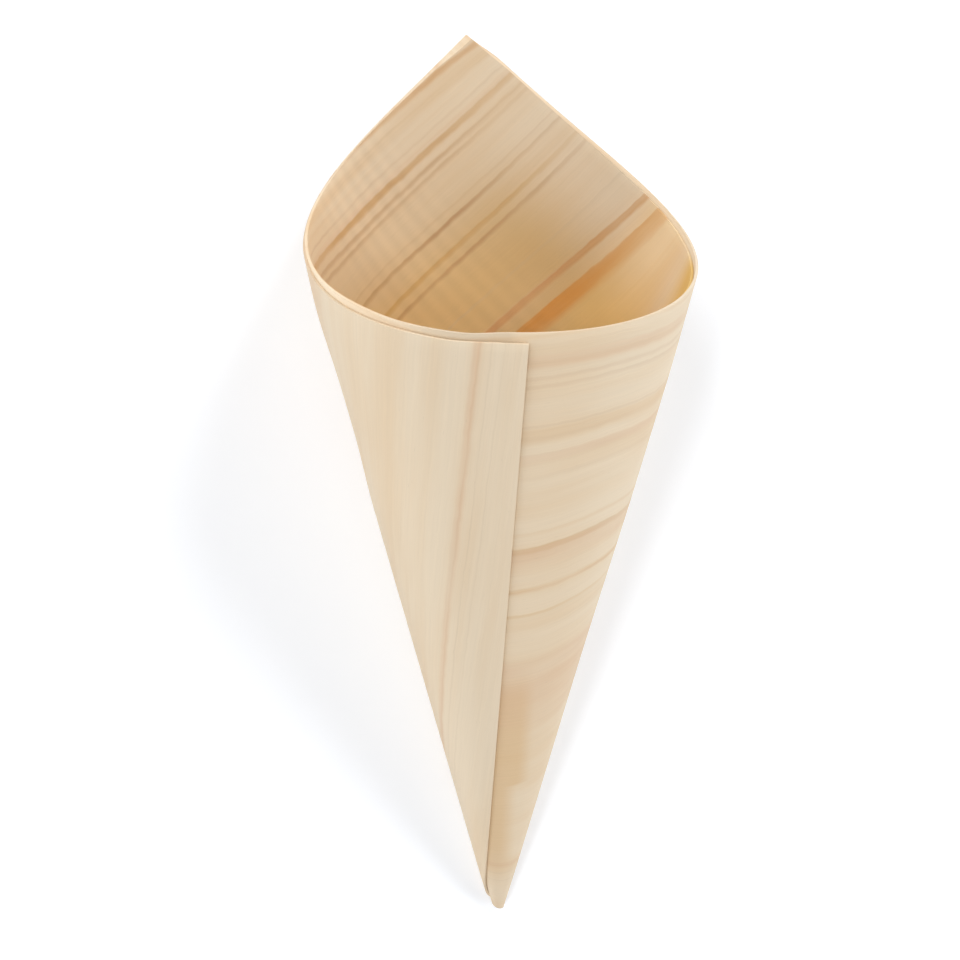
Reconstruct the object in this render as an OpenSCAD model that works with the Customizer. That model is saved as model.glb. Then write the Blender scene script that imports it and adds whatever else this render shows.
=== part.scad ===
// Serving cone rolled from one nearly rectangular sheet of thin wood veneer.
// The sheet is wound about a point just below the middle of its long bottom edge,
// so that both of its top corners meet at the back as a pointed peak.
// The cone lies on its back: +Y is the way the mouth faces, +Z is up.
// All sizes are in millimetres and degrees.

/* [Sheet] */
// length of the sheet along its grain, at its long bottom edge
sheet_l = 257.5; // [120:0.5:500]
// width of the sheet across its grain
sheet_w = 127; // [60:1:250]
// how far each short end leans in by the time it meets the long top edge
end_slant = 2; // [0:0.1:6]
// thickness of the veneer
sheet_t = 0.5; // [0.3:0.05:1.2]

/* [Roll] */
// number of turns that the sheet makes, which sets the angle of the cone
turns = 2.038; // [1.6:0.001:2.4]
// how far the rolling point lies below the long bottom edge, which leaves the tip open
tip_offset = 3.3; // [1.5:0.1:6]
// how far the rolling point lies from the middle of that edge, towards the hidden end
roll_shift = 2.3; // [-4:0.1:4]
// air between one turn and the next
turn_gap = 0.08; // [0.04:0.01:0.5]
// how far round from the seam the line is that the cone rests on
rest_turn = 180; // [120:1:240]

/* [Finish] */
// colour of the bare veneer
veneer_color = [0.87, 0.76, 0.60];
// strips across each quarter of the sheet
strips = 60; // [24:4:90]

/* [Hidden] */

// rolling point to the long top edge, to the short end that shows as the seam,
// and to the short end hidden inside
sheet_rise = sheet_w + tip_offset;
outer_run = sheet_l / 2 + roll_shift;
inner_run = sheet_l / 2 - roll_shift;
slant = end_slant / sheet_w;

// half the opening angle of the cone: the half turn of flat sheet makes all the turns
half_angle = asin(180 / (360 * turns));
flat_turn = 360 * sin(half_angle);
pitch = sheet_t + turn_gap;

// flat directions from the rolling point, counted from the outer end of the bottom edge
start_dir = atan2(tip_offset, outer_run);
outer_corner_dir = atan2(sheet_rise, outer_run - end_slant);
inner_corner_dir = 180 - atan2(sheet_rise, inner_run - end_slant);
end_dir = 180 - atan2(tip_offset, inner_run);

// directions of all strips, with both top corners of the sheet among them
function spread(from, to, count) = [for (i = [1 : count]) from + (to - from) * i / count];
dirs = concat([start_dir],
              spread(start_dir, outer_corner_dir, strips),
              spread(outer_corner_dir, inner_corner_dir, 2 * strips),
              spread(inner_corner_dir, end_dir, strips));
last = len(dirs) - 1;

// distance from the rolling point to the bottom edge and to the rim
function bottom_at(dir) = tip_offset / sin(dir);
function rim_at(dir) =
    dir < outer_corner_dir ? (outer_run + slant * tip_offset) / (slant * sin(dir) + cos(dir))
    : dir > inner_corner_dir ? (inner_run + slant * tip_offset) / (slant * sin(dir) - cos(dir))
    : sheet_rise / sin(dir);

// how far a strip line lies round the axis from the line opposite the rest line,
// and how far its turn is pushed out past the innermost turn
function round_at(dir) = 180 - rest_turn + dir / sin(half_angle);
function layer_at(dir) = pitch * (end_dir - dir) / flat_turn;

// a place on the sheet once it is rolled, with the cone's axis along +Z and its tip down;
// side is 0 on the inner face and 1 on the outer face
function rolled(dist, dir, side) =
    let (a = round_at(dir), s = sin(half_angle), c = cos(half_angle))
    [-sin(a) * (dist * s + side * sheet_t * c),
     -cos(a) * (dist * s + side * sheet_t * c),
     dist * c - side * sheet_t * s - layer_at(dir) / s];

// lay the cone down on its back
function laid(p) =
    [p[0],
     p[2] * cos(half_angle) + p[1] * sin(half_angle),
     p[2] * sin(half_angle) - p[1] * cos(half_angle)];

// four places on each strip line, two at each pointed end of the sheet
function line_points(dir) = [
    laid(rolled(bottom_at(dir), dir, 0)),
    laid(rolled(rim_at(dir), dir, 0)),
    laid(rolled(bottom_at(dir), dir, 1)),
    laid(rolled(rim_at(dir), dir, 1))];
function end_points(dir) = [
    laid(rolled(rim_at(dir), dir, 0)),
    laid(rolled(rim_at(dir), dir, 1))];
loose_points = concat(
    end_points(dirs[0]),
    [for (i = [1 : last - 1]) for (p = line_points(dirs[i])) p],
    end_points(dirs[last]));

// the cone stands with the middle of its bounding box over the origin and its back at z = 0
function axis_range(points, k) = [min([for (p = points) p[k]]), max([for (p = points) p[k]])];
x_range = axis_range(loose_points, 0);
y_range = axis_range(loose_points, 1);
z_range = axis_range(loose_points, 2);
shift = [-(x_range[0] + x_range[1]) / 2, -(y_range[0] + y_range[1]) / 2, -z_range[0]];
cone_points = [for (p = loose_points) p + shift];

// numbers of the points on strip line i, on the inner and the outer face,
// and of the inner and the outer point at each pointed end
function in_low(i) = 2 + 4 * (i - 1);
function in_rim(i) = in_low(i) + 1;
function out_low(i) = in_low(i) + 2;
function out_rim(i) = in_low(i) + 3;
start_in = 0;
start_out = 1;
end_in = in_low(last);
end_out = end_in + 1;

// two triangles for a band with four corners, and the four bands between two strip lines
function band(a, b, c, d) = [[a, c, b], [a, d, c]];
function strip_faces(i, j) = concat(
    band(out_low(i), out_rim(i), out_rim(j), out_low(j)),
    band(in_rim(i), in_low(i), in_low(j), in_rim(j)),
    band(out_rim(i), in_rim(i), in_rim(j), out_rim(j)),
    band(in_low(i), out_low(i), out_low(j), in_low(j)));

// where the bottom edge meets a short end, the strip runs out to a point
start_faces = concat(
    [[start_out, out_low(1), out_rim(1)], [start_in, in_rim(1), in_low(1)]],
    band(start_out, start_in, in_rim(1), out_rim(1)),
    band(start_in, start_out, out_low(1), in_low(1)));
end_line = last - 1;
end_faces = concat(
    [[out_low(end_line), end_out, out_rim(end_line)], [in_rim(end_line), end_in, in_low(end_line)]],
    band(out_rim(end_line), in_rim(end_line), end_in, end_out),
    band(in_low(end_line), out_low(end_line), end_out, end_in));
cone_faces = concat(
    start_faces,
    [for (i = [1 : end_line - 1]) for (f = strip_faces(i, i + 1)) f],
    end_faces);

module veneer_cone() {
    color(veneer_color)
        polyhedron(points = cone_points, faces = cone_faces, convexity = 12);
}

veneer_cone();
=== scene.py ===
import logging
import math
from dataclasses import dataclass, field
from enum import Enum
from typing import Sequence

import bpy
from mathutils import Euler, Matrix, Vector


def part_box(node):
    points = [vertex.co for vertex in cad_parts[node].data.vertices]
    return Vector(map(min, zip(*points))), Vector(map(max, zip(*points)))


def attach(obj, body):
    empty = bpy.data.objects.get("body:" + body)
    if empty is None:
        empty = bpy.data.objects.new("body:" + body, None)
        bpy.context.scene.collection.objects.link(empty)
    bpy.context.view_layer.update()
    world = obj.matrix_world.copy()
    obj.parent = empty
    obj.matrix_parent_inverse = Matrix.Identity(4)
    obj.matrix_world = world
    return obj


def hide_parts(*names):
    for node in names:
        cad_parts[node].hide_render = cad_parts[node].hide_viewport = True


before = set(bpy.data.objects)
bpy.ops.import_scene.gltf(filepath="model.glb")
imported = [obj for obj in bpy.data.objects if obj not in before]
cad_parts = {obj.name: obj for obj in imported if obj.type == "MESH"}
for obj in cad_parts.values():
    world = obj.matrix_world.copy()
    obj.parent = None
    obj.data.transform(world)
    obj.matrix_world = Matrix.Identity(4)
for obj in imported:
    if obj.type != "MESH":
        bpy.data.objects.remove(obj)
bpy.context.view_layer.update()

MM = 0.001
Colour = tuple[float, float, float]
Place = tuple[float, float, float]
Turn = tuple[float, float, float]
Span = tuple[float, float]
Socket = bpy.types.NodeSocket
GRAIN_MAP = "sheet"
INNER_FACE = "inner_face"
log = logging.getLogger("serving_cone")


def smooth(low: float, high: float, value: float) -> float:
    """Rise softly from 0 at one value to 1 at another.

    Args:
        low: Value where the result is 0.
        high: Value where the result is 1; it may be the lower one.
        value: Value to look up.

    Returns:
        A number from 0 to 1.
    """
    t = min(1.0, max(0.0, (value - low) / (high - low)))
    return t * t * (3.0 - 2.0 * t)


class Tone(Enum):
    """Colours of the growth rings in the veneer."""

    ORANGE = (0.560, 0.270, 0.080)
    RUST = (0.610, 0.275, 0.060)
    BROWN = (0.420, 0.205, 0.075)
    TAN = (0.660, 0.430, 0.215)
    AMBER = (0.545, 0.300, 0.085)
    OCHRE = (0.640, 0.400, 0.150)
    PINK = (0.690, 0.465, 0.300)
    GREY = (0.520, 0.400, 0.260)


@dataclass(frozen=True)
class Ring:
    """One growth ring, drawn along the sheet as a line that drifts.

    Attributes:
        at: Place of its upper side across the rings, in millimetres.
        above: How far its colour fades out towards the top edge.
        wide: How far it keeps its full colour towards the bottom edge.
        below: How far its colour fades out below that.
        outer: Strength at the outer end of the sheet, from 0 to 1.
        inner: Strength on the inner turn, from 0 to 1.
        end: Strength at the inner end of the sheet, from 0 to 1.
        tone: Colour of the ring.
    """

    at: float
    above: float
    wide: float
    below: float
    outer: float
    inner: float
    end: float
    tone: Tone


RINGS: tuple[Ring, ...] = (
    Ring(136.2, 0.6, 0.5, 1.0, 0.30, 0.40, 0.62, Tone.ORANGE),
    Ring(133.0, 1.2, 0.6, 1.4, 0.20, 0.36, 0.20, Tone.TAN),
    Ring(130.2, 0.6, 0.0, 0.8, 0.24, 0.14, 0.10, Tone.TAN),
    Ring(128.2, 0.4, 0.0, 0.6, 0.00, 0.20, 0.12, Tone.BROWN),
    Ring(125.8, 0.5, 0.5, 0.9, 0.12, 0.86, 0.44, Tone.AMBER),
    Ring(126.6, 0.7, 1.2, 1.6, 0.36, 0.30, 0.16, Tone.PINK),
    Ring(123.1, 0.5, 0.1, 0.8, 0.14, 0.42, 0.18, Tone.BROWN),
    Ring(121.6, 0.4, 0.1, 0.8, 0.12, 0.30, 0.12, Tone.BROWN),
    Ring(114.5, 0.4, 0.0, 0.5, 0.12, 0.18, 0.14, Tone.BROWN),
    Ring(113.8, 0.6, 1.4, 1.6, 0.24, 0.00, 0.00, Tone.TAN),
    Ring(112.6, 0.4, 0.2, 0.9, 0.05, 0.52, 0.22, Tone.BROWN),
    Ring(109.2, 0.6, 0.8, 1.2, 0.34, 0.00, 0.00, Tone.PINK),
    Ring(107.8, 0.4, 0.3, 0.9, 0.06, 0.62, 0.26, Tone.AMBER),
    Ring(105.3, 0.4, 0.2, 0.9, 0.06, 0.54, 0.24, Tone.BROWN),
    Ring(96.4, 0.3, 0.1, 0.5, 0.00, 0.20, 0.20, Tone.GREY),
    Ring(94.2, 0.5, 0.1, 0.8, 0.24, 0.00, 0.00, Tone.TAN),
    Ring(91.2, 0.4, 0.7, 0.7, 0.32, 0.00, 0.00, Tone.AMBER),
    Ring(90.6, 0.4, 0.8, 0.8, 0.00, 0.92, 0.74, Tone.ORANGE),
    Ring(90.8, 0.6, 1.6, 3.4, 0.44, 0.22, 0.00, Tone.PINK),
    Ring(86.4, 0.4, 2.2, 2.2, 0.00, 0.88, 0.50, Tone.RUST),
    Ring(82.9, 0.5, 0.2, 1.0, 0.44, 0.00, 0.00, Tone.TAN),
    Ring(82.6, 0.3, 0.1, 0.5, 0.14, 0.00, 0.00, Tone.ORANGE),
    Ring(77.6, 0.4, 0.1, 0.6, 0.26, 0.10, 0.10, Tone.OCHRE),
    Ring(66.0, 2.5, 8.0, 12.0, 0.42, 0.10, 0.00, Tone.PINK),
    Ring(45.0, 1.5, 0.0, 2.5, 0.12, 0.20, 0.20, Tone.TAN),
    Ring(16.6, 0.8, 0.4, 1.0, 0.40, 0.34, 0.30, Tone.PINK),
    Ring(16.2, 0.3, 0.0, 0.5, 0.12, 0.20, 0.20, Tone.ORANGE),
    Ring(14.2, 0.2, 0.0, 0.25, 0.16, 0.12, 0.12, Tone.GREY),
    Ring(12.2, 0.2, 0.0, 0.25, 0.14, 0.12, 0.12, Tone.GREY),
)


class Nodes:
    """Short ways to add and join shader nodes in one material."""

    def __init__(self, name: str) -> None:
        """Make an empty material.

        Args:
            name: Name of the material.
        """
        self.material = bpy.data.materials.new(name)
        self.material.use_nodes = True
        self.tree = self.material.node_tree
        self.tree.nodes.clear()
        self.output = self.tree.nodes.new("ShaderNodeOutputMaterial")

    def new(self, kind: str, **settings: object) -> bpy.types.Node:
        """Add a node.

        Args:
            kind: Blender's name for the kind of node.
            **settings: Values for the node's own properties.

        Returns:
            The new node.
        """
        node = self.tree.nodes.new(kind)
        for key, value in settings.items():
            setattr(node, key, value)
        return node

    def put(self, socket: Socket, value: Socket | float | Sequence[float]) -> None:
        """Join an output to an input, or set the input's own value.

        Args:
            socket: Input socket.
            value: Output socket, number or list of numbers.
        """
        if isinstance(value, bpy.types.NodeSocket):
            self.tree.links.new(value, socket)
        else:
            socket.default_value = value

    def math(self, operation: str, *values: Socket | float) -> Socket:
        """Add a math node.

        Args:
            operation: Blender's name for the operation.
            *values: Its inputs, in order.

        Returns:
            Its output.
        """
        node = self.new("ShaderNodeMath", operation=operation)
        for socket, value in zip(node.inputs, values):
            self.put(socket, value)
        return node.outputs[0]

    def add(self, a: Socket | float, b: Socket | float) -> Socket:
        """Return a plus b."""
        return self.math("ADD", a, b)

    def sub(self, a: Socket | float, b: Socket | float) -> Socket:
        """Return a minus b."""
        return self.math("SUBTRACT", a, b)

    def mul(self, a: Socket | float, b: Socket | float) -> Socket:
        """Return a times b."""
        return self.math("MULTIPLY", a, b)

    def past(self, value: Socket | float, limit: Socket | float) -> Socket:
        """Return how far a value lies past a limit, or 0 before it."""
        return self.math("MAXIMUM", self.sub(value, limit), 0.0)

    def soft_step(self, value: Socket, low: float, high: float,
                  to_low: float = 0.0, to_high: float = 1.0) -> Socket:
        """Rise softly from one result to another.

        Args:
            value: Value to look up.
            low: Value where the rise starts.
            high: Value where the rise ends.
            to_low: Result at and before the start.
            to_high: Result at and past the end.

        Returns:
            The result.
        """
        node = self.new("ShaderNodeMapRange", interpolation_type="SMOOTHSTEP")
        for socket, item in zip(node.inputs, (value, low, high, to_low, to_high)):
            self.put(socket, item)
        return node.outputs[0]

    def hill(self, value: Socket, rise: Span, fall: Span) -> Socket:
        """Rise softly from 0 to 1 over one span and fall back to 0 over another.

        Args:
            value: Value to look up.
            rise: Places where the rise starts and ends.
            fall: Places where the fall ends and starts.

        Returns:
            A number from 0 to 1.
        """
        return self.mul(self.soft_step(value, *rise), self.soft_step(value, *fall))

    def split(self, vector: Socket) -> tuple[Socket, Socket]:
        """Return the first two numbers of a vector."""
        node = self.new("ShaderNodeSeparateXYZ")
        self.put(node.inputs[0], vector)
        return node.outputs[0], node.outputs[1]

    def sheet_place(self, sheet_l: float) -> tuple[Socket, Socket]:
        """Look up the place on the flat sheet.

        Args:
            sheet_l: Length of the sheet in millimetres.

        Returns:
            Millimetres along the sheet and across it.
        """
        along, across = self.split(self.new("ShaderNodeUVMap", uv_map=GRAIN_MAP).outputs[0])
        return self.mul(along, sheet_l), self.mul(across, sheet_l)

    def point(self, x: Socket | float, y: Socket | float, z: Socket | float = 0.0) -> Socket:
        """Join three numbers to one vector.

        Args:
            x: First number.
            y: Second number.
            z: Third number.

        Returns:
            The vector.
        """
        node = self.new("ShaderNodeCombineXYZ")
        for socket, item in zip(node.inputs, (x, y, z)):
            self.put(socket, item)
        return node.outputs[0]

    def noise(self, place: Socket, detail: float = 2.0, roughness: float = 0.5) -> Socket:
        """Add a noise whose cells are about one unit wide.

        Args:
            place: Vector to look up.
            detail: Number of finer noises on top.
            roughness: How strong the finer ones are.

        Returns:
            A number near 0.5.
        """
        node = self.new("ShaderNodeTexNoise", noise_dimensions="3D")
        self.put(node.inputs["Vector"], place)
        self.put(node.inputs["Scale"], 1.0)
        self.put(node.inputs["Detail"], detail)
        self.put(node.inputs["Roughness"], roughness)
        return node.outputs[0]

    def blend(self, factor: Socket | float, a: Socket | Colour, b: Socket | Colour,
              kind: str = "MIX") -> Socket:
        """Mix two colours.

        Args:
            factor: Share of the second colour.
            a: First colour.
            b: Second colour.
            kind: Blender's name for the way to mix.

        Returns:
            The mixed colour.
        """
        node = self.new("ShaderNodeMix", data_type="RGBA", blend_type=kind)
        self.put(node.inputs[0], factor)
        for socket, value in ((node.inputs[6], a), (node.inputs[7], b)):
            self.put(socket, (*value, 1.0) if isinstance(value, tuple) else value)
        return node.outputs[2]

    def scaled(self, vector: Socket, amount: Socket | float) -> Socket:
        """Make a vector longer or shorter, or a colour lighter or darker.

        Args:
            vector: Vector or colour to change.
            amount: 1 leaves it as it is.

        Returns:
            The changed vector or colour.
        """
        node = self.new("ShaderNodeVectorMath", operation="SCALE")
        self.put(node.inputs[0], vector)
        self.put(node.inputs["Scale"], amount)
        return node.outputs[0]

    def finish(self, colour: Socket, roughness: float, gloss: float) -> bpy.types.Node:
        """Give the material a plain rough surface.

        Args:
            colour: Colour of the surface.
            roughness: Its roughness.
            gloss: Strength of its mirror-like part.

        Returns:
            The shader node.
        """
        shader = self.new("ShaderNodeBsdfPrincipled")
        self.put(shader.inputs["Base Color"], colour)
        self.put(shader.inputs["Roughness"], roughness)
        self.put(shader.inputs["Specular IOR Level"], gloss)
        self.put(self.output.inputs[0], shader.outputs[0])
        return shader


@dataclass(frozen=True)
class VeneerFinish:
    """Bare wood veneer with growth rings that run along the sheet.

    All places and spans are in millimetres. Along the sheet they count from its outer
    end, and across it from the rolling point. The spans of a soft step run from the
    place where its share is 0 to the place where it is 1.

    Attributes:
        pale: Colour of fresh veneer.
        warm: Colour where the veneer is a little darker, both in its own clouds and as a
            painted shade in the hollow of the inner turn.
        deep: Colour of the painted shade deep in the hollow of the inner turn.
        patch: Golden colour near the hidden end.
        seam_band: Colour of the darker ochre band beside the seam.
        roughness: Roughness of the faces.
        gloss: Strength of their mirror-like part.
        sheet_l: Length of the sheet, which the grain map is given in shares of.
        second_turn: Span over which the second turn starts.
        hidden_end: Span over which the painted shade of the hollow fades out towards the
            hidden end.
        drift_at: Place along the sheet where the rings lie lowest.
        drift_round: How softly they turn there.
        drift_slope: How far they sink per millimetre beyond it.
        hump_up: Span over which the rings rise beside the seam.
        hump_down: Span over which they come down again.
        chatter_at: Middle of the cross marks left by the veneer knife.
        chatter_pitch: Distance from one cross mark to the next.
        chatter_depth: How much darker they are.
        fibre_depth: How much lighter and darker the coarse fibres are.
        hair_depth: How much lighter and darker the fine fibres are.
        fleck_depth: How much darker the short flecks are.
        relief: Height of the fibres, in metres.
        relief_share: Strength of that relief.
    """

    pale: Colour = (0.790, 0.665, 0.500)
    warm: Colour = (0.740, 0.560, 0.365)
    deep: Colour = (0.620, 0.410, 0.180)
    patch: Colour = (0.740, 0.480, 0.130)
    seam_band: Colour = (0.705, 0.505, 0.295)
    roughness: float = 0.62
    gloss: float = 0.28
    sheet_l: float = 257.5
    second_turn: Span = (134.0, 160.0)
    hidden_end: Span = (258.0, 238.0)
    drift_at: float = 112.0
    drift_round: float = 12.0
    drift_slope: float = 0.054
    hump_up: Span = (98.0, 115.0)
    hump_down: Span = (133.0, 115.0)
    chatter_at: float = 213.0
    chatter_pitch: float = 3.7
    chatter_depth: float = 0.028
    fibre_depth: float = 0.10
    hair_depth: float = 0.06
    fleck_depth: float = 0.07
    relief: float = 0.00012
    relief_share: float = 0.25

    def streaks(self, n: Nodes, u: Socket, w: Socket, long: float, wide: float,
                layer: float = 0.0, detail: float = 2.0, roughness: float = 0.5) -> Socket:
        """Make noise that is drawn out along the grain.

        Args:
            n: Material to add to.
            u: Millimetres along the sheet.
            w: Millimetres across the rings.
            long: Length of one streak.
            wide: Width of one streak.
            layer: Picks another pattern of the same kind.
            detail: Number of finer noises on top.
            roughness: How strong the finer ones are.

        Returns:
            A number near 0.5.
        """
        place = n.point(n.mul(u, 1.0 / long), n.mul(w, 1.0 / wide), layer)
        return n.noise(place, detail, roughness)

    def warm_share(self, n: Nodes, u: Socket, w: Socket, inner_face: Socket) -> Socket:
        """Say where the veneer is a little darker: its own darker clouds, a painted shade in
        the hollow of the inner turn and a darker band right of the seam.

        Args:
            n: Material to add to.
            u: Millimetres along the sheet.
            w: Millimetres across the rings.
            inner_face: 1 on the inner face and 0 on the outer one.

        Returns:
            Share of the warm colour.
        """
        clouds = self.streaks(n, u, w, 60.0, 7.0, 2.0, 3.0)
        clouds = n.soft_step(clouds, 0.35, 0.75, 0.0, 0.55)
        # Painted shade in the hollow of the inner turn, on its inner face only.
        hollow = n.mul(n.soft_step(u, *self.second_turn, 0.0, 0.6),
                       n.soft_step(u, *self.hidden_end, 0.65, 1.0))
        hollow = n.mul(hollow, inner_face)
        by_seam = n.mul(n.soft_step(u, 112.0, 124.0, 0.0, 0.22), n.soft_step(u, 140.0, 133.0))
        return n.add(clouds, n.add(hollow, by_seam))

    def hollow_shade_share(self, n: Nodes, u: Socket, v: Socket, inner_face: Socket) -> Socket:
        """Say where the painted shade is darkest, deep in the hollow of the inner turn.

        Args:
            n: Material to add to.
            u: Millimetres along the sheet.
            v: Millimetres across the sheet.
            inner_face: 1 on the inner face and 0 on the outer one.

        Returns:
            Share of the deep colour.
        """
        # Painted shade that deepens towards the far, low part of the hollow.
        slope, level_at = 0.22, 222.0
        low = n.soft_step(n.add(v, n.mul(n.sub(u, level_at), slope)), 124.0, 92.0)
        along = n.hill(u, (138.0, 165.0), (252.0, 232.0))
        return n.mul(n.mul(low, along), inner_face)

    def golden(self, n: Nodes, ground: Socket, u: Socket, v: Socket) -> Socket:
        """Add the golden patches near the hidden end.

        Args:
            n: Material to add to.
            ground: Colour to add them to.
            u: Millimetres along the sheet.
            v: Millimetres across the sheet.

        Returns:
            The colour with the patches.
        """
        corner = n.mul(n.soft_step(v, 60.0, 50.0), n.soft_step(u, 234.0, 250.0, 0.0, 0.85))
        ground = n.blend(corner, ground, self.patch)
        strip = n.mul(n.soft_step(v, 80.0, 73.0), n.soft_step(v, 56.0, 64.0, 0.0, 0.26))
        return n.blend(n.mul(strip, n.soft_step(u, 215.0, 230.0)), ground, self.patch)

    def seam_band_share(self, n: Nodes, u: Socket, v: Socket) -> Socket:
        """Say where the darker ochre band beside the seam lies.

        Args:
            n: Material to add to.
            u: Millimetres along the sheet.
            v: Millimetres across the sheet.

        Returns:
            Share of the stain.
        """
        strength = 0.85
        near = n.add(u, n.soft_step(v, 36.8, 37.8, -2.6, 0.0))
        along = n.mul(n.soft_step(near, 125.5, 129.0), n.soft_step(u, 140.0, 134.0))
        across = n.hill(v, (66.0, 58.0), (8.0, 22.0))
        return n.mul(n.mul(along, across), strength)

    def ring_height(self, n: Nodes, u: Socket, v: Socket) -> Socket:
        """Straighten the growth rings.

        Args:
            n: Material to add to.
            u: Millimetres along the sheet.
            v: Millimetres across the sheet.

        Returns:
            Millimetres across the rings.
        """
        away = n.sub(u, self.drift_at)
        bow = n.math("SQRT", n.add(n.mul(away, away), self.drift_round ** 2))
        drift = n.mul(n.sub(bow, self.drift_round), self.drift_slope)
        level = n.add(v, n.add(drift, self.droop(n, u, v)))
        slow = self.streaks(n, u, v, 34.0, 14.0, 0.0, 1.0)
        quick = self.streaks(n, u, v, 3.0, 2.2, 4.0, 1.0)
        wander = n.add(n.mul(n.sub(slow, 0.5), 0.9), n.mul(n.sub(quick, 0.5), 0.5))
        hump = n.hill(u, self.hump_up, self.hump_down)
        hump = n.mul(hump, n.soft_step(v, 124.0, 98.0, 0.5, 1.5))
        hump = n.mul(hump, n.soft_step(v, 30.0, 60.0))
        return n.sub(n.add(level, wander), n.add(self.lift(n, u, v), hump))

    def droop(self, n: Nodes, u: Socket, v: Socket) -> Socket:
        """Return how far the rings in the lower half sink towards the hidden end."""
        end = n.past(u, 213.0)
        last = n.past(u, 238.0)
        sink = n.sub(n.mul(n.mul(end, end), 0.0041), n.mul(n.mul(last, last), 0.004))
        return n.mul(sink, n.soft_step(v, 100.0, 68.0))

    def lift(self, n: Nodes, u: Socket, v: Socket) -> Socket:
        """Return how far the rings near the long top edge rise on the inner turn."""
        rise = n.mul(n.mul(n.past(u, 200.0), 0.006), n.soft_step(v, 108.0, 118.0))
        left = n.math("MINIMUM", n.past(212.0, u), 30.0)
        curl = n.mul(n.mul(n.mul(left, left), 0.004), n.soft_step(v, 113.0, 122.0))
        return n.add(rise, n.mul(curl, n.soft_step(u, 140.0, 175.0)))

    def rings(self, n: Nodes, colour: Socket, u: Socket, w: Socket) -> Socket:
        """Draw every growth ring over a ground colour.

        Args:
            n: Material to add to.
            colour: Ground colour.
            u: Millimetres along the sheet.
            w: Millimetres across the rings.

        Returns:
            The colour with the rings.
        """
        inner_share = n.soft_step(u, 134.0, 175.0)
        end_share = n.soft_step(u, 225.0, 252.0)
        patchy = n.soft_step(self.streaks(n, u, w, 20.0, 3.0, 9.0), 0.25, 0.75, 0.55, 1.2)
        for ring in RINGS:
            bottom = ring.at - ring.wide
            line = n.hill(w, (bottom - ring.below, bottom), (ring.at + ring.above, ring.at))
            strength = n.add(n.mul(inner_share, ring.inner - ring.outer), ring.outer)
            strength = n.add(n.mul(end_share, ring.end - ring.inner), strength)
            share = n.mul(n.mul(line, strength), patchy)
            colour = n.blend(n.math("MINIMUM", share, 1.0), colour, ring.tone.value)
        return colour

    def grain_light(self, n: Nodes, u: Socket, w: Socket, fibre: Socket,
                    hair: Socket) -> Socket:
        """Say how light the fibres, flecks and knife marks make the veneer.

        Args:
            n: Material to add to.
            u: Millimetres along the sheet.
            w: Millimetres across the rings.
            fibre: Noise of the coarse fibres.
            hair: Noise of the fine fibres.

        Returns:
            A number near 1.
        """
        fleck = n.soft_step(self.streaks(n, u, w, 1.6, 1.0 / 4.5, 6.0, 1.0), 0.70, 0.80)
        marks = n.mul(n.add(u, n.mul(fibre, 1.2)), math.tau / self.chatter_pitch)
        reach = n.math("ABSOLUTE", n.sub(u, self.chatter_at))
        marks = n.mul(n.math("SINE", marks), n.soft_step(reach, 20.0, 6.0))
        light = n.add(1.0, n.mul(n.sub(fibre, 0.5), self.fibre_depth))
        light = n.add(light, n.mul(n.sub(hair, 0.5), self.hair_depth))
        light = n.add(light, n.mul(marks, self.chatter_depth))
        return n.sub(light, n.mul(fleck, self.fleck_depth))

    def painted_light_and_shade(self, n: Nodes, u: Socket, v: Socket, inner_face: Socket) -> Socket:
        """Paint light and shade onto regions of the veneer: painted light on the left part of
        the inner turn, low near the hidden end and on the inner face of the first turn;
        painted shade high near the hidden end and on the strip just under the inner turn's
        rim.

        Args:
            n: Material to add to.
            u: Millimetres along the sheet.
            v: Millimetres across the sheet.
            inner_face: 1 on the inner face and 0 on the outer one.

        Returns:
            A number near 0.
        """
        # Painted light on the left part and low near the hidden end; painted shade high near
        # the hidden end.
        left = n.hill(u, (222.0, 198.0), (138.0, 165.0))
        high = n.mul(n.soft_step(u, 205.0, 240.0), n.soft_step(v, 74.0, 84.0))
        low = n.mul(n.soft_step(u, 222.0, 236.0), n.soft_step(v, 76.0, 66.0))
        # Painted light on the first turn's inner face; painted shade on the strip under the
        # inner turn's rim.
        painted_first_turn_light = n.mul(n.soft_step(u, 134.0, 131.0), inner_face)
        painted_collar_shade = n.mul(n.hill(u, (152.0, 142.0), (131.5, 134.0)), n.soft_step(v, 125.0, 126.5))
        painted_collar_shade = n.mul(painted_collar_shade, n.sub(1.0, inner_face))
        light = n.mul(left, 0.17)
        light = n.sub(light, n.mul(high, 0.13))
        light = n.add(light, n.mul(low, 0.13))
        light = n.add(light, n.mul(painted_first_turn_light, 0.10))
        return n.sub(light, n.mul(painted_collar_shade, 0.10))

    def material(self, name: str) -> bpy.types.Material:
        """Make the material.

        Args:
            name: Name of the material.

        Returns:
            The material.
        """
        n = Nodes(name)
        u, v = n.sheet_place(self.sheet_l)
        w = self.ring_height(n, u, v)
        inner_face = n.new("ShaderNodeAttribute", attribute_name=INNER_FACE).outputs["Fac"]
        ground = n.blend(self.warm_share(n, u, w, inner_face), self.pale, self.warm)
        # Painted shade, darkest deep in the hollow of the inner turn.
        ground = n.blend(self.hollow_shade_share(n, u, v, inner_face), ground, self.deep)
        ground = self.golden(n, ground, u, v)
        # Darker ochre band beside the seam, in the lower half of the sheet.
        ground = n.blend(self.seam_band_share(n, u, v), ground, self.seam_band)
        colour = self.rings(n, ground, u, w)
        fibre = self.streaks(n, u, w, 26.0, 1.0 / 2.6, 0.0, 3.0, 0.6)
        hair = self.streaks(n, u, w, 9.0, 1.0 / 7.0, 3.0, 2.0, 0.6)
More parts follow.
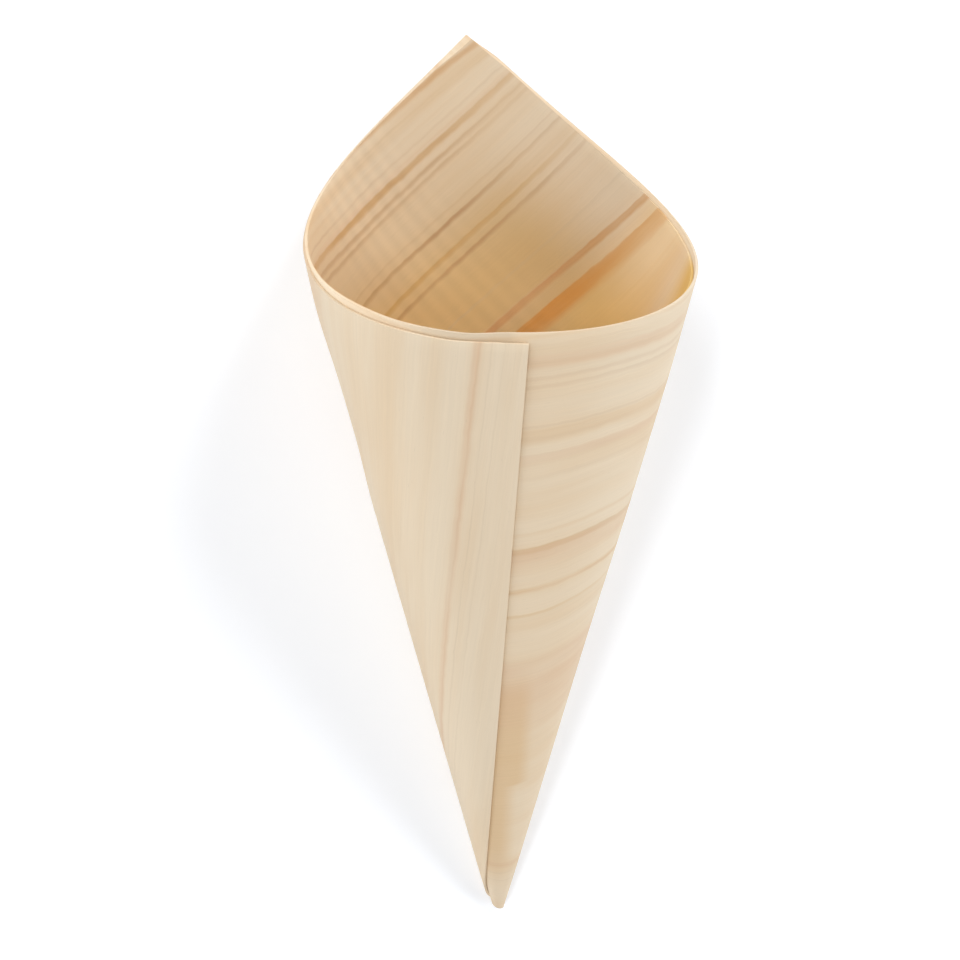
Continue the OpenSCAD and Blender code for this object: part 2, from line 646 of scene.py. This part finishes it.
        # Wood grain, plus painted light and shade by region.
        light = n.add(self.grain_light(n, u, w, fibre, hair),
                      self.painted_light_and_shade(n, u, v, inner_face))
        shader = n.finish(n.scaled(colour, light), self.roughness, self.gloss)
        bump = n.new("ShaderNodeBump")
        n.put(bump.inputs["Strength"], self.relief_share)
        n.put(bump.inputs["Distance"], self.relief)
        n.put(bump.inputs["Height"], n.add(n.mul(hair, 0.6), fibre))
        n.put(shader.inputs["Normal"], bump.outputs[0])
        return n.material


@dataclass(frozen=True)
class CutEdgeFinish:
    """Cut edge of the veneer, paler than its faces, partly in its own colour and partly as a
    painted highlight where the rims catch the light.

    Attributes:
        pale: Main colour, with a painted highlight in it.
        dark: Colour of the pores.
        hidden: Colour of the hidden inner end.
        roughness: Roughness of the edge.
        gloss: Strength of its mirror-like part.
        pores_per_metre: How fine the pores are.
        sheet_l: Length of the sheet, which the grain map is given in shares of.
        hidden_from: Span along the sheet over which the hidden end starts.
    """

    # Pale enough to carry a painted highlight along the rims as well as the cut's own colour.
    pale: Colour = (0.930, 0.840, 0.680)
    dark: Colour = (0.840, 0.700, 0.500)
    hidden: Colour = (0.700, 0.530, 0.340)
    roughness: float = 0.75
    gloss: float = 0.2
    pores_per_metre: float = 1500.0
    sheet_l: float = 257.5
    hidden_from: Span = (250.0, 254.0)

    def material(self, name: str) -> bpy.types.Material:
        """Make the material.

        Args:
            name: Name of the material.

        Returns:
            The material.
        """
        n = Nodes(name)
        place = n.new("ShaderNodeTexCoord").outputs["Object"]
        pores = n.noise(n.scaled(place, self.pores_per_metre), 2.0)
        colour = n.blend(n.soft_step(pores, 0.45, 0.75), self.pale, self.dark)
        u, _ = n.sheet_place(self.sheet_l)
        colour = n.blend(n.soft_step(u, *self.hidden_from, 0.0, 0.8), colour, self.hidden)
        n.finish(colour, self.roughness, self.gloss)
        return n.material


@dataclass(frozen=True)
class Roll:
    """The way the flat sheet is wound to a cone that lies on its back, in millimetres."""

    sheet_l: float = 257.5
    sheet_w: float = 127.0
    sheet_t: float = 0.5
    end_slant: float = 2.0
    turns: float = 2.038
    tip_offset: float = 3.3
    roll_shift: float = 2.3
    turn_gap: float = 0.08

    @property
    def sin_half(self) -> float:
        """Sine of half the cone's opening angle."""
        return 1.0 / (2.0 * self.turns)

    @property
    def cos_half(self) -> float:
        """Cosine of half the cone's opening angle."""
        return math.sqrt(1.0 - self.sin_half ** 2)

    @property
    def outer_run(self) -> float:
        """Distance along the sheet from its outer end to the rolling point."""
        return self.sheet_l / 2 + self.roll_shift

    @property
    def top(self) -> float:
        """Height of the long top edge above the rolling point."""
        return self.tip_offset + self.sheet_w

    def lean(self, across: float) -> float:
        """Return how far in both short ends stand at a height above the rolling point."""
        return self.end_slant * (across - self.tip_offset) / self.sheet_w

    def place(self, along: float, across: float, out: float = 0.0) -> Vector:
        """Find where a place on the flat sheet goes.

        Args:
            along: Distance from the outer end of the sheet.
            across: Height above the rolling point.
            out: Distance outwards from the inner face.

        Returns:
            The place on the lying cone, before it is moved over the origin.
        """
        run = self.outer_run - along
        dist = math.hypot(run, across)
        way = math.atan2(across, run)
        end_way = math.pi - math.atan2(self.tip_offset, self.sheet_l / 2 - self.roll_shift)
        turn = math.tau * self.sin_half
        layer = (self.sheet_t + self.turn_gap) * (end_way - way) / turn
        a = way / self.sin_half
        s, c = self.sin_half, self.cos_half
        radius = dist * s + out * c
        x, y = -math.sin(a) * radius, -math.cos(a) * radius
        z = dist * c - out * s - layer / s
        return Vector((x, z * c + y * s, z * s - y * c))


@dataclass
class ServingCone:
    """The rolled sheet of veneer.

    Attributes:
        roll: The way the sheet is wound.
        face: Finish of its faces.
        edge: Finish of its cut edges.
        cells_along: Cells along the sheet.
        cells_across: Cells across the sheet.
        edge_bevel: Width of the bevel on its edges, in millimetres.
        edge_angle: Edges sharper than this get the bevel, in degrees.
        smooth_angle: Edges sharper than this stay crisp, in degrees.
        seam_lift: How far the seam's top corner springs up.
        mouth_pull: How far the left side is drawn in near the peak.
        waist_pull: How far the left side is drawn in below the rim.
        right_swell: How far the right side swells below the rim.
        tip_squeeze: How far the tip is squeezed.
        outer_sag: How far the outer rim sags left of the seam.
        outer_corner_drop: How far the outer top corner is worn down.
        inner_corner_drop: How far the inner top corner is worn down.
        inner_dip: How far the inner rim sags left of the seam.
        side_dip: How far it sags at the left side.
    """

    roll: Roll = field(default_factory=Roll)
    face: VeneerFinish = field(default_factory=VeneerFinish)
    edge: CutEdgeFinish = field(default_factory=CutEdgeFinish)
    cells_along: int = 236
    cells_across: int = 96
    edge_bevel: float = 0.07
    edge_angle: float = 60.0
    smooth_angle: float = 40.0
    seam_lift: float = 0.16
    mouth_pull: float = 0.95
    waist_pull: float = 0.45
    right_swell: float = 0.45
    tip_squeeze: float = 0.10
    outer_sag: float = 0.4
    outer_corner_drop: float = 1.05
    inner_corner_drop: float = 0.9
    inner_dip: float = 0.6
    side_dip: float = 0.25

    def spacing_along(self, share: float, across: float) -> float:
        """Crowd the cells near the rolling point, where the cone is narrowest.

        Args:
            share: Place along the sheet from 0 to 1, evenly spaced.
            across: Height above the rolling point.

        Returns:
            Distance from the outer end of the sheet.
        """
        middle = self.roll.outer_run / self.roll.sheet_l
        part = share - middle
        reach = middle if part < 0 else 1.0 - middle
        t = part / reach
        even = middle + reach * (0.22 * t + 0.78 * t * abs(t) ** 0.9)
        lean = self.roll.lean(across)
        return lean + even * (self.roll.sheet_l - 2.0 * lean)

    def spacing_across(self, share: float) -> float:
        """Crowd the cells near the bottom edge.

        Args:
            share: Place across the sheet from 0 to 1, evenly spaced.

        Returns:
            Height above the rolling point.
        """
        return self.roll.tip_offset + (0.3 * share + 0.7 * share ** 1.8) * self.roll.sheet_w

    def flat_grid(self) -> bpy.types.Object:
        """Lay out the flat sheet with its grain map.

        Returns:
            The flat sheet, with millimetres along and across as x and y.
        """
        bpy.ops.object.select_all(action="DESELECT")
        bpy.ops.mesh.primitive_grid_add(x_subdivisions=self.cells_along,
                                        y_subdivisions=self.cells_across, size=1.0)
        sheet = bpy.context.active_object
        sheet.name = "rolled_veneer"
        mesh = sheet.data
        for vertex in mesh.vertices:
            across = self.spacing_across(vertex.co.y + 0.5)
            vertex.co = (self.spacing_along(vertex.co.x + 0.5, across), across, 0.0)
        layer = mesh.uv_layers[0]
        layer.name = GRAIN_MAP
        for loop in mesh.loops:
            at = mesh.vertices[loop.vertex_index].co
            layer.data[loop.index].uv = (at.x / self.roll.sheet_l, at.y / self.roll.sheet_l)
        return sheet

    def spring(self, along: float, across: float) -> float:
        """Say how far the sheet stands off the true cone.

        Args:
            along: Distance from the outer end of the sheet.
            across: Height above the rolling point.

        Returns:
            Distance outwards.
        """
        run = self.roll.outer_run - along
        dist = math.hypot(run, across)
        side = math.sin(math.atan2(across, run) / self.roll.sin_half)
        out = self.seam_lift * smooth(38.0, 0.0, along) * smooth(75.0, 20.0, across)
        if side > 0.0:
            pull = self.mouth_pull * smooth(128.0, 150.0, dist)
            pull += self.waist_pull * smooth(94.0, 110.0, dist) * smooth(136.0, 116.0, dist)
            out -= pull * side ** 2
        else:
            swell = smooth(60.0, 100.0, dist) * smooth(142.0, 118.0, dist)
            out += self.right_swell * side ** 2 * swell
        return out - self.tip_squeeze * smooth(14.0, 4.0, dist)

    def ease(self, along: float, across: float) -> tuple[float, float]:
        """Blunt the two top corners and lower the rims a little.

        Args:
            along: Distance from the outer end of the sheet.
            across: Height above the rolling point.

        Returns:
            The eased distances along and across.
        """
        run = self.roll.outer_run - along
        if run > 0:
            corner = smooth(11.0, 1.5, along) * smooth(118.0, 130.0, across)
            sag = smooth(12.0, 0.0, along) * smooth(54.0, 38.0, across)
            along += self.outer_sag * sag * smooth(8.0, 16.0, across)
            return along, across - self.outer_corner_drop * corner
        dist = math.hypot(run, across)
        keep = 1.0 - self.inner_corner_drop * smooth(172.0, 180.0, dist) / dist
        dip = self.inner_dip * smooth(133.0, 141.0, along) * smooth(162.0, 150.0, along)
        dip += self.side_dip * smooth(150.0, 162.0, along) * smooth(190.0, 174.0, along)
        across -= dip * smooth(108.0, 130.0, across)
        return self.roll.outer_run - run * keep, across * keep

    def shift(self) -> Vector:
        """Find the move that puts the cone where the CAD solid is.

        Returns:
            The move, in millimetres.
        """
        roll = self.roll
        count = 400
        steps = [i / count for i in range(count + 1)]
        slack = roll.sheet_l - 2.0 * roll.end_slant
        rim = [(roll.end_slant + s * slack, roll.top) for s in steps]
        rim += [(s * roll.sheet_l, roll.tip_offset) for s in steps]
        for across in (roll.tip_offset + s * roll.sheet_w for s in steps):
            lean = roll.lean(across)
            rim += [(lean, across), (roll.sheet_l - lean, across)]
        spots = [roll.place(u, v, out) for u, v in rim for out in (0.0, roll.sheet_t)]
        cad_low, cad_high = (Vector(c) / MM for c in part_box("veneer_cone"))
        middle = [(min(p[k] for p in spots) + max(p[k] for p in spots)) / 2 for k in range(3)]
        return Vector(((cad_low.x + cad_high.x) / 2 - middle[0],
                       (cad_low.y + cad_high.y) / 2 - middle[1],
                       cad_low.z - min(p.z for p in spots)))

    def mark_inner_face(self, piece: bpy.types.Object, inner: Sequence[Vector]) -> None:
        """Mark the points of the inner face, which the veneer's finish looks up.

        Args:
            piece: The rolled sheet, once it has its thickness.
            inner: Places of the sheet's points before it had its thickness.
        """
        mark = piece.data.attributes.new(INNER_FACE, "FLOAT", "POINT")
        near = self.roll.sheet_t * MM / 2
        for i, vertex in enumerate(piece.data.vertices):
            mark.data[i].value = float((vertex.co - inner[i % len(inner)]).length < near)

    def build(self) -> bpy.types.Object:
        """Roll the sheet, give it its thickness and soften its edges.

        Returns:
            The finished piece.
        """
        piece = self.flat_grid()
        shift = self.shift()
        for vertex in piece.data.vertices:
            along, across = vertex.co.x, vertex.co.y
            out = self.spring(along, across)
            vertex.co = (self.roll.place(*self.ease(along, across), out) + shift) * MM
        bpy.ops.object.mode_set(mode="EDIT")
        bpy.ops.mesh.select_all(action="SELECT")
        bpy.ops.mesh.flip_normals()
        bpy.ops.object.mode_set(mode="OBJECT")
        inner = [vertex.co.copy() for vertex in piece.data.vertices]
        wall = piece.modifiers.new("wall", "SOLIDIFY")
        wall.thickness = self.roll.sheet_t * MM
        wall.offset = 1.0
        wall.use_even_offset = True
        wall.material_offset_rim = 1
        bpy.ops.object.modifier_apply(modifier=wall.name)
        self.mark_inner_face(piece, inner)
        soften = piece.modifiers.new("soften", "BEVEL")
        soften.width = self.edge_bevel * MM
        soften.segments = 2
        soften.limit_method = "ANGLE"
        soften.angle_limit = math.radians(self.edge_angle)
        bpy.ops.object.modifier_apply(modifier=soften.name)
        return piece

    def dress(self, piece: bpy.types.Object) -> None:
        """Give the piece its finishes and its place in the frame.

        Args:
            piece: The rolled veneer.
        """
        piece.data.materials.append(self.face.material("veneer_face"))
        piece.data.materials.append(self.edge.material("veneer_cut_edge"))
        bpy.ops.object.select_all(action="DESELECT")
        piece.select_set(True)
        bpy.context.view_layer.objects.active = piece
        bpy.ops.object.shade_smooth_by_angle(angle=math.radians(self.smooth_angle))
        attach(piece, "root")
        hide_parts("veneer_cone")


@dataclass(frozen=True)
class SoftBox:
    """One round soft light that points at the object.

    Attributes:
        name: Its name.
        at: Its place.
        size: Its width.
        power: Its power in watts.
    """

    name: str
    at: Place
    size: float
    power: float


SOFT_BOXES: tuple[SoftBox, ...] = (
    SoftBox("key", (-0.62, -0.05, 1.0), 0.22, 2.8),
    SoftBox("left_front", (-0.95, -0.25, 0.40), 0.7, 2.6),
    SoftBox("right_front", (0.95, -0.25, 0.40), 0.7, 4.45),
    SoftBox("left_back", (-0.60, 0.70, 0.70), 0.6, 4.7),
    SoftBox("right_back", (0.60, 0.70, 0.70), 0.6, 5.9),
    SoftBox("front", (0.0, -1.0, 0.6), 0.7, 2.4),
)


@dataclass
class Studio:
    """Pale floor, soft light and the camera of the photograph.

    Attributes:
        floor_size: Width of the floor.
        floor_seen: Colour of the floor as the camera sees it.
        floor_real: How much light it gives back to the object.
        world_light: Strength of the even light of the room.
        light_aim: Place that the lights point at.
        lens: Focal length, for a sensor of sensor_width.
        sensor_width: Width of the camera's sensor.
        clip_start: Nearest distance that the camera sees.
        camera_at: Place of the camera.
        camera_turn: Its turn about x, y and z, in degrees.
    """

    floor_size: float = 6.0
    floor_seen: Colour = (1.09, 1.12, 1.17)
    floor_real: float = 0.75
    world_light: float = 0.205
    light_aim: Place = (0.0, 0.0, 0.02)
    lens: float = 44.70
    sensor_width: float = 36.0
    clip_start: float = 0.005
    camera_at: Place = (-0.04933, 0.00510, 0.23991)
    camera_turn: Turn = (-0.974, -11.883, -2.952)

    def build_floor(self) -> None:
        """Lay a floor that shows the object's shadow and is white elsewhere."""
        bpy.ops.object.select_all(action="DESELECT")
        bpy.ops.mesh.primitive_plane_add(size=self.floor_size)
        floor = bpy.context.active_object
        floor.name = "floor"
        n = Nodes("floor_paper")
        path = n.new("ShaderNodeLightPath")
        seen = n.math("MAXIMUM", path.outputs["Is Camera Ray"], path.outputs["Is Glossy Ray"])
        real = (self.floor_real, self.floor_real, self.floor_real)
        shader = n.new("ShaderNodeBsdfDiffuse")
        n.put(shader.inputs["Color"], n.blend(seen, real, self.floor_seen))
        n.put(n.output.inputs[0], shader.outputs[0])
        floor.data.materials.append(n.material)

    def build_world(self) -> None:
        """Fill the room with even light."""
        world = bpy.data.worlds.new("room")
        bpy.context.scene.world = world
        world.use_nodes = True
        ground = world.node_tree.nodes["Background"]
        ground.inputs["Color"].default_value = (1.0, 1.0, 1.0, 1.0)
        ground.inputs["Strength"].default_value = self.world_light

    def add_light(self, box: SoftBox) -> None:
        """Hang one soft light.

        Args:
            box: The light.
        """
        data = bpy.data.lights.new(box.name, "AREA")
        data.shape = "DISK"
        data.size = box.size
        data.energy = box.power
        lamp = bpy.data.objects.new(box.name, data)
        lamp.location = box.at
        away = Vector(box.at) - Vector(self.light_aim)
        lamp.rotation_euler = away.to_track_quat("Z", "Y").to_euler()
        bpy.context.collection.objects.link(lamp)

    def build_camera(self) -> None:
        """Set the camera where the photograph was taken from."""
        data = bpy.data.cameras.new("photo_camera")
        data.lens = self.lens
        data.sensor_width = self.sensor_width
        data.clip_start = self.clip_start
        camera = bpy.data.objects.new("photo_camera", data)
        camera.location = self.camera_at
        camera.rotation_euler = Euler([math.radians(a) for a in self.camera_turn])
        bpy.context.collection.objects.link(camera)
        bpy.context.scene.camera = camera

    def build(self) -> None:
        """Set up the whole studio."""
        scene = bpy.context.scene
        scene.view_settings.view_transform = "Standard"
        scene.view_settings.look = "None"
        self.build_floor()
        self.build_world()
        for box in SOFT_BOXES:
            self.add_light(box)
        self.build_camera()


def main() -> None:
    """Build the cone and the studio; the CAD solid stays in the scene, hidden."""
    logging.basicConfig(level=logging.INFO, format="%(message)s")
    cone = ServingCone()
    piece = cone.build()
    cone.dress(piece)
    log.info("%s: %d faces", piece.name, len(piece.data.polygons))
    Studio().build()


if __name__ == "__main__":
    main()
